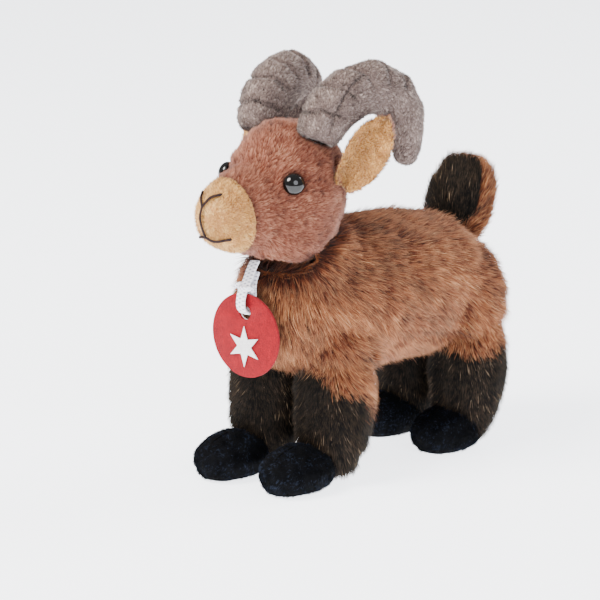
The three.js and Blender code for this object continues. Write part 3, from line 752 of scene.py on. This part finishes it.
# Polished black acrylic: deep black with a sharp window highlight. Faint polishing marks, drawn coarser than they
# are so that they show, break it a little.
acrylic = grainedMaterial("polished_black_acrylic", 0.9, 3.0, ("#030303", "#0a0807"), (0.3, 0.8), (0.03, 0.02),
                          {"Roughness": 0.05, "IOR": 1.49})
domeSteps = [math.radians(90 * k / 12) for k in range(13)]
domeProfile = [(eye["radius"] * math.sin(a), eye["dome"] * math.cos(a)) for a in domeSteps]
domeProfile += [(eye["radius"] * 0.97, -0.3), (eye["radius"] * 0.8, -0.5), (1.5, -0.55), (1.45, -6), (0, -6)]
for side, (place, toward) in eyePlaces.items():
    dome = lathe(f"{side}_safety_eye", domeProfile, place, toward, 48, acrylic, "head")
    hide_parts(f"{side}_eye")
print("eyes set")

# Embroidery in long stitches, drawn through the muzzle's pile. Places are across and up, in mm.
strokes = {"radius": 0.5, "plies": 3, "twist": 2.4, "raise": 1.25,
           "nose_embroidery": [[(-4.4, 110.8), (-2.8, 109.2), (-1.2, 106.9)],
                               [(4.4, 111.0), (1.6, 109.7), (-1.2, 106.9)],
                               [(-1.2, 107.1), (-1.8, 103.5), (-1.4, 100.4), (-0.8, 97.0)]],
           "mouth_embroidery": [[(-6.4, 95.6), (-3.8, 96.2), (-0.8, 96.5), (3.2, 95.6), (7.8, 96.9)]]}


def curveThrough(points, step):  # a smooth line through the points
    points = [Vector(p) for p in points]
    spread = [points[0] * 2 - points[1], *points, points[-1] * 2 - points[-2]]
    line = []
    for a, b, c, d in zip(spread, spread[1:], spread[2:], spread[3:]):
        count = max(2, math.ceil((c - b).length / step))
        for k in range(count):
            t = k / count
            line.append(0.5 * (2 * b + (c - a) * t + (2 * a - 5 * b + 4 * c - d) * t * t
                               + (3 * b - a - 3 * c + d) * t ** 3))
    line.append(points[-1].copy())
    return line


sweepSides = 20


def sweep(form, line, section, wide):  # a closed band or thread: section(place, angle) gives its half sizes
    sides, rings, travelled = sweepSides, [], 0.0
    for i, point in enumerate(line):
        tangent = (line[min(i + 1, len(line) - 1)] - line[max(i - 1, 0)]).normalized()
        across = (wide - tangent * wide.dot(tangent)).normalized()
        up = tangent.cross(across)
        travelled += (point - line[max(i - 1, 0)]).length
        ring = []
        for k in range(sides):
            a, b = section(travelled, 2 * math.pi * k / sides)
            ring.append(form.verts.new(point + across * a + up * b))
        rings.append(ring)
    for first, second in zip(rings, rings[1:]):
        for k in range(sides):
            form.faces.new((first[k], first[(k + 1) % sides], second[(k + 1) % sides], second[k]))
    form.faces.new(rings[0][::-1])
    form.faces.new(rings[-1])


# Rayon embroidery thread: a soft shine along the twist, dark brown. Its filaments are drawn coarse enough to show.
thread = grainedMaterial("dark_brown_rayon_thread", 0.5, 4.0, ("#0f0605", "#341c19"), (0.3, 0.75), (0.5, 0.08),
                         {"Roughness": 0.6, "Specular IOR Level": 0.2})


def stitchMuzzle():
    tree = trees["muzzle"][0]
    for name in ("nose_embroidery", "mouth_embroidery"):
        form = bmesh.new()
        for points in strokes[name]:
            onSkin = []
            for x, z in points:
                hit, out, _, _ = tree.ray_cast(Vector((x * mm, -0.12, z * mm)), Vector((0, 1, 0)))
                onSkin.append(hit + out * strokes["raise"] * mm)
            line = curveThrough(onSkin, 0.35 * mm)
            for ply in range(strokes["plies"]):
                phase = 2 * math.pi * ply / strokes["plies"]
                twisted = []
                for i, point in enumerate(line):
                    angle = phase + 2 * math.pi * i * 0.35 / strokes["twist"]
                    twisted.append(point + Vector((math.cos(angle), 0, math.sin(angle))) * 0.22 * mm)
                half = strokes["radius"] * 0.62 * mm
                sweep(form, twisted, lambda s, a: (half * math.cos(a), half * math.sin(a)), Vector((0.3, 1, 0.2)))
        piece = meshPiece(form, name.replace("embroidery", "stitches"), thread, "head")
        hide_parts(name)


stitchMuzzle()
print("muzzle stitched")

# Ears: each a leaf of plush, rose behind and sand in front, cupped along its middle and curled in at the root.
ear = {"length": 26.5, "width": 16.5, "below": 3, "wall": 1.1, "cup": 3.2, "curl": 2.2, "steps": 34, "gap": 0.25,
       "front": 0.66, "perSquareMm": 12}


def earOutline(share):  # half the leaf's width at a share of its length
    return ear["width"] / 2 * math.sin(math.pi * (0.05 + 0.95 * share)) ** 0.6


def makeEar(side, seed):
    joint = jointNamed(f"{side}_ear_bend")
    root, across = Vector(joint["pos_m"]), Vector(joint["axis"]).normalized()
    lining, back = pointsOf(nodes[f"{side}_ear_lining"].data), pointsOf(nodes[f"{side}_ear_back"].data)
    tip = max((Vector(p) for p in lining), key=lambda p: (p - root).length)
    along = (tip - root - across * (tip - root).dot(across)).normalized()
    facing = along.cross(across)
    if (Vector(lining.mean(axis=0)) - Vector(back.mean(axis=0))).dot(facing) < 0:
        facing = -facing

    def place(u, v, depth):  # u across from -1 to 1, v along from 0 to 1
        half = earOutline(v) * (1 if u * across.y > 0 else 1 - (1 - ear["front"]) * (1 - v * v))
        swell = 1 - 0.5 * abs(u) ** 6
        rise = ear["cup"] * u * u + ear["curl"] * (1 - v) ** 2 * u * u + 0.5 * math.sin(7 * v + 2 * u)
        reach = -ear["below"] + v * (ear["length"] + ear["below"])
        return root + (across * half * u + along * reach + facing * (rise + depth * swell)) * mm

    for part, colour, slot, sign in (("ear_lining", "sand", "sand_plush", 1), ("ear_back", "rose", "rose_plush", -1)):
        form = bmesh.new()
        steps = ear["steps"]
        layers = [[[form.verts.new(place(2 * i / steps - 1, 0.004 + 0.992 * j / steps, sign * depth))
                    for i in range(steps + 1)] for j in range(steps + 1)]
                  for depth in (ear["gap"] / 2, ear["gap"] / 2 + ear["wall"])]
        inner, outer = layers
        for j in range(steps):
            for i in range(steps):
                form.faces.new((outer[j][i], outer[j][i + 1], outer[j + 1][i + 1], outer[j + 1][i]))
                form.faces.new((inner[j][i], inner[j + 1][i], inner[j + 1][i + 1], inner[j][i + 1]))
        rim = [(0, i) for i in range(steps)] + [(j, steps) for j in range(steps)]
        rim += [(steps, steps - i) for i in range(steps)] + [(steps - j, 0) for j in range(steps)]
        for (j, i), (m, n) in zip(rim, rim[1:] + rim[:1]):
            form.faces.new((inner[j][i], inner[m][n], outer[m][n], outer[j][i]))
        node = f"{side}_{part}"
        skin = meshPiece(form, f"{node}_skin", backing[colour], f"{side}_ear")
        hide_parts(node)
        roots, normals = rootsOn(skin, ear["perSquareMm"], seed)
        keep = (normals @ np.array(facing)) * sign > (-0.35 if sign > 0 else -0.75)
        roots, normals = clearOf(roots[keep], normals[keep], ("head",))
        offset = (roots - np.array(root)) @ np.array(across) / (ear["width"] / 2 * mm)
        height = (roots - np.array(root)) @ np.array(along) / (ear["length"] * mm)
        comb = np.array(along) + normals * 0.2 + np.array(across) * (offset * 0.5)[:, None]
        shade = (0.36 if sign > 0 else 0.5) + 0.1 * ripple(roots, 6 * mm, seed + 1)
        if sign > 0:
            # Painted shade: the lining is darker down the middle of its cup, most of all near the root.
            shade = shade - 0.3 * np.exp(-((offset + 0.1) / 0.5) ** 2) * (1 - 0.5 * np.clip(height, 0, 1))
        coat = {**shortPile, "seed": seed, "length": 2.0 if sign > 0 else 2.4, "lean": 42, "speckle": 0.16}
        growPile(f"{node}_pile", roots, normals, comb, coat, shade, f"{side}_ear", fibre[colour])


makeEar("left", 120)
makeEar("right", 130)

# The elastic leaves the neck, passes through the tag and comes back up to it, as places in mm.
elastic = {"width": 4.4, "wall": 1.1, "stitch": 1.4, "relief": 0.24, "ring": 0.2,
           "knot": (1.8, -50.0, 76.0), "knotTurns": 1.6, "knotReach": (2.7, 1.9), "knotRise": 1.9,
           "stub": [(-1.5, 0.2, 0.3), (-3.0, -0.3, 0.5), (-4.6, -0.6, 0.2), (-5.6, -0.8, -0.4)],
           "route": [
               (0.4, -44.3, 84.6), (0.8, -46.2, 82.6), (1.3, -48.2, 79.8), (1.8, -50.2, 77.2), (2.1, -52.0, 75.0),
               (2.3, -53.0, 72.4), (2.3, -53.1, 69.6), (2.2, -51.9, 67.7), (2.1, -49.8, 67.0), (1.9, -47.8, 67.7),
               (1.8, -46.9, 69.8), (1.6, -47.0, 72.8), (1.3, -46.8, 75.6), (0.9, -45.9, 78.2), (0.5, -44.4, 80.6)]}
elasticShift = Vector(jointNamed("tag_swing")["pos_m"]) - Vector(elastic["route"][0]) * mm


# Braided polyester elastic: white and matt, with painted shade grey in the grooves where one strand passes under the
# next.
def braidedElastic():
    made, tree = newMaterial("white_braided_elastic")
    place = addNode(tree, "ShaderNodeUVMap", {"uv_map": "OFBake"})
    split = addNode(tree, "ShaderNodeSeparateXYZ", {}, {0: place.outputs[0]})
    tone = addNode(tree, "ShaderNodeValToRGB", {}, {0: split.outputs["X"]})
    setStops(tone, [(0.1, "#77778a"), (0.55, "#dcdce6"), (0.9, "#fafaff")])
    shader = addNode(tree, "ShaderNodeBsdfPrincipled", {"Roughness": 0.75, "Sheen Weight": 0.15},
                     {"Base Color": tone.outputs[0]})
    finishMaterial(tree, shader)
    return made


def plaitAt(place, side):  # height of the plait, from 0 in a groove to 1 on a strand
    turn = 2 * math.pi * place / (elastic["stitch"] * mm)
    return 0.5 + 0.5 * max(math.sin(turn + 4.5 * side), math.sin(turn - 4.5 * side))


def braidSection(width, wall):
    def section(place, angle):
        side = math.cos(angle)
        flat = math.copysign(abs(math.sin(angle)) ** 0.55, math.sin(angle))
        height = wall / 2 + elastic["relief"] * (plaitAt(place, side) - 0.5)
        return side * width * mm / 2, flat * height * mm
    return section


# Painted shade: the braid's grooves are coloured grey through the piece's OFBake map.
def paintPlaitShade(piece, strands):  # strands are the lines of the piece, in the order they were swept
    mesh = piece.data
    shade = np.empty((len(mesh.vertices), 2))
    at = 0
    for line in strands:
        travelled = 0.0
        for i, point in enumerate(line):
            travelled += (point - line[max(i - 1, 0)]).length
            for k in range(sweepSides):
                shade[at] = plaitAt(travelled, math.cos(2 * math.pi * k / sweepSides)), i / len(line)
                at += 1
    corners = np.empty(len(mesh.loops), dtype=np.int32)
    mesh.loops.foreach_get("vertex_index", corners)
    layer = mesh.uv_layers.new(name="OFBake")
    layer.data.foreach_set("uv", (0.02 + 0.96 * shade)[corners].reshape(-1))


def makeElastic():
    white = braidedElastic()
    route = [Vector(p) * mm for p in elastic["route"]]
    line = [p + elasticShift for p in curveThrough(route, elastic["ring"] * mm)]
    form = bmesh.new()
    sweep(form, line, braidSection(elastic["width"], elastic["wall"]), Vector((1, 0, 0)))
    band = meshPiece(form, "tag_elastic", white, "tag")
    paintPlaitShade(band, [line])
    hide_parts("tag_cord")
    # The knot wraps both runs of the elastic, and its cut end stands out to one side.
    centre = Vector(elastic["knot"]) * mm + elasticShift
    form = bmesh.new()
    wraps = []
    for k in range(40):
        turn = 2 * math.pi * elastic["knotTurns"] * k / 39
        wide, deep = elastic["knotReach"]
        wrap = Vector((wide * math.cos(turn), deep * math.sin(turn), elastic["knotRise"] * (k / 39 - 0.5)))
        wraps.append(centre + wrap * mm)
    sweep(form, wraps, braidSection(1.9, 1.5), Vector((0, 0, 1)))
    stub = [centre + Vector(p) * mm for p in elastic["stub"]]
    stub = curveThrough(stub, elastic["ring"] * mm)
    sweep(form, stub, braidSection(2.0, 1.2), Vector((0, 0, 1)))
    knot = meshPiece(form, "elastic_knot", white, "tag")
    paintPlaitShade(knot, [wraps, stub])
    return band, knot, line


# Pressed polyester felt: a matt tangle of fibres, its colour varying in patches, with painted shade darker in the
# pits of the tangle, and with a fine fuzz that catches the light.
# Its fibres are too fine to show, so the tangle is drawn as coarse as it needs to be.
def pressedFelt(name, dark, light):
    made, tree = newMaterial(name)
    place = addNode(tree, "ShaderNodeTexCoord")
    tangle = addNode(tree, "ShaderNodeTexNoise", {"Scale": 1 / (0.45 * mm), "Detail": 5.0, "Roughness": 0.7},
                     {0: place.outputs["Object"]})
    patches = addNode(tree, "ShaderNodeTexNoise", {"Scale": 1 / (3 * mm), "Detail": 2.0},
                      {0: place.outputs["Object"]})
    both = addNode(tree, "ShaderNodeMath", {"operation": "MULTIPLY_ADD", 1: 0.25},
                   {0: patches.outputs[0], 2: tangle.outputs[0]})
    tone = addNode(tree, "ShaderNodeValToRGB", {}, {0: both.outputs[0]})
    setStops(tone, [(0.4, dark), (0.8, light)])
    bump = addNode(tree, "ShaderNodeBump", {"Strength": 0.7, "Distance": 0.2 * mm}, {"Height": tangle.outputs[0]})
    shader = addNode(tree, "ShaderNodeBsdfPrincipled",
                     {"Roughness": 0.85, "Sheen Weight": 0.08, "Specular IOR Level": 0.2},
                     {"Base Color": tone.outputs[0], "Normal": bump.outputs[0]})
    finishMaterial(tree, shader)
    return made


tag = {"radius": 15.5, "hole": 2.5, "holeRise": 8.4, "turn": 7, "frontWall": 1.0, "backWall": 0.5, "edge": 0.3,
       "motif": 8, "motifWall": 0.5, "motifDrop": 4, "notch": 0.42, "points": 6}


def tagLayer(name, loops, wall, forward, material):  # forward is how far the layer's middle lies ahead
    outline = bpy.data.curves.new(name, "CURVE")
    outline.dimensions = "2D"
    outline.fill_mode = "BOTH"
    outline.extrude = (wall / 2 - tag["edge"] * 0.6) * mm
    outline.bevel_depth = tag["edge"] * 0.6 * mm
    outline.bevel_resolution = 2
    for loop in loops:
        spline = outline.splines.new("POLY")
        spline.points.add(len(loop) - 1)
        spline.use_cyclic_u = True
        for point, (x, y) in zip(spline.points, loop):
            point.co = (x * mm, y * mm, 0, 1)
    flat = link(bpy.data.objects.new(name, outline))
    mesh = bpy.data.meshes.new_from_object(flat.evaluated_get(bpy.context.evaluated_depsgraph_get()))
    bpy.data.objects.remove(flat)
    boxLow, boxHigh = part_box("tag_front")
    turn = math.radians(tag["turn"])
    centre = Vector([(a + b) / 2 for a, b in zip(boxLow, boxHigh)])
    across, ahead = Vector((math.cos(turn), math.sin(turn), 0)), Vector((math.sin(turn), -math.cos(turn), 0))
    for vert in mesh.vertices:
        x, y, z = vert.co
        vert.co = centre + across * x + Vector((0, 0, 1)) * y + ahead * (z + forward * mm)
    mesh.materials.clear()
    mesh.materials.append(material)
    form = bmesh.new()
    form.from_mesh(mesh)
    bmesh.ops.remove_doubles(form, verts=form.verts[:], dist=1e-6)
    return meshPiece(form, name, material, "tag")


def ringPoints(radius, count, rise=0.0):
    return [(radius * math.cos(2 * math.pi * k / count), rise + radius * math.sin(2 * math.pi * k / count))
            for k in range(count)]


def makeTag():
    red = pressedFelt("red_polyester_felt", "#4f0006", "#960014")
    white = pressedFelt("white_polyester_felt", "#cfcccc", "#f9f8f8")
    loops = [ringPoints(tag["radius"] - tag["edge"], 120), ringPoints(tag["hole"] + tag["edge"], 48, tag["holeRise"])]
    front = tagLayer("tag_red_face", loops, tag["frontWall"], 0, red)
    loops[0] = ringPoints(tag["radius"] - tag["edge"] - 0.5, 120)
    back = tagLayer("tag_white_back", loops, tag["backWall"], -0.8, white)
    star = []
    for k in range(tag["points"] * 2):
        angle = math.pi / 2 + math.pi * k / tag["points"]
        reach = (tag["motif"] - tag["edge"]) * (tag["notch"] if k % 2 else 1)
        star.append((reach * 0.9 * math.cos(angle), reach * 0.9 * math.sin(angle) - tag["motifDrop"]))
    motif = tagLayer("tag_star", [star], tag["motifWall"], 0.95, white)
    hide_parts("tag_front")
    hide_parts("tag_back")
    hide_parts("tag_motif")
    return [front, back, motif]


tagPieces = makeTag()
band, knot, bandLine = makeElastic()

# What lies inside the covers keeps its own solid.

# Loose polyester fibre filling: bright, soft, slightly uneven.
filling = grainedMaterial("polyester_fibre_filling", 3, 6.0, ("#dedad2", "#faf9f6"), (0.3, 0.7), (0.8, 0.6),
                          {"Roughness": 0.95, "Sheen Weight": 0.4})
# Moulded polyethylene washer: waxy white with a faint flow pattern.
washer = grainedMaterial("moulded_polyethylene", 2, 2.0, ("#e3e1da", "#f3f2ee"), (0.3, 0.7), None,
                         {"Roughness": 0.45, "IOR": 1.51})
insides = {"stuffing": filling, "washer": washer, "stitch": fibre["velour"]}
for name, piece in nodes.items():
    for ending, material in insides.items():
        if name.endswith(ending):
            piece.data.materials.clear()
            piece.data.materials.append(material)

def softLight(name, place, size, power, colour):
    lamp = bpy.data.lights.new(name, "AREA")
    lamp.shape = "DISK"
    lamp.size = size
    lamp.energy = power
    lamp.color = hexColour(colour)[:3]
    made = link(bpy.data.objects.new(name, lamp))
    made.location = place
    made.rotation_euler = (Vector((0, 0, 0.07)) - Vector(place)).to_track_quat("-Z", "Y").to_euler()


studio = {"key": ((-0.3, -1.3, 1.5), 1.0, 70, "#fffaf4"), "fill": ((1.6, -0.6, 0.9), 1.2, 22, "#f2f6ff"),
          "back": ((0.5, 1.5, 1.3), 1.0, 22, "#ffffff")}  # place, size in metres, power and colour
for name, lamp in studio.items():
    softLight(name, *lamp)
world = bpy.data.worlds.new("studio")
world.use_nodes = True
world.node_tree.nodes["Background"].inputs[0].default_value = (1, 1, 1, 1)
world.node_tree.nodes["Background"].inputs[1].default_value = 0.55
bpy.context.scene.world = world

floorMesh = bpy.data.meshes.new("floor")
floorMesh.from_pydata([(-3, -3, 0), (3, -3, 0), (3, 3, 0), (-3, 3, 0)], [], [(0, 1, 2, 3)])
floor = link(bpy.data.objects.new("floor", floorMesh))
# Backlit white acrylic sheet: an even pale glow that leaves only a faint shadow.
sheet, tree = newMaterial("backlit_white_acrylic")
finishMaterial(tree, addNode(tree, "ShaderNodeBsdfPrincipled", {
    "Base Color": hexColour("#f7f9fc"), "Roughness": 0.35, "Emission Color": hexColour("#f6f9ff"),
    "Emission Strength": 3.2}))
floorMesh.materials.append(sheet)
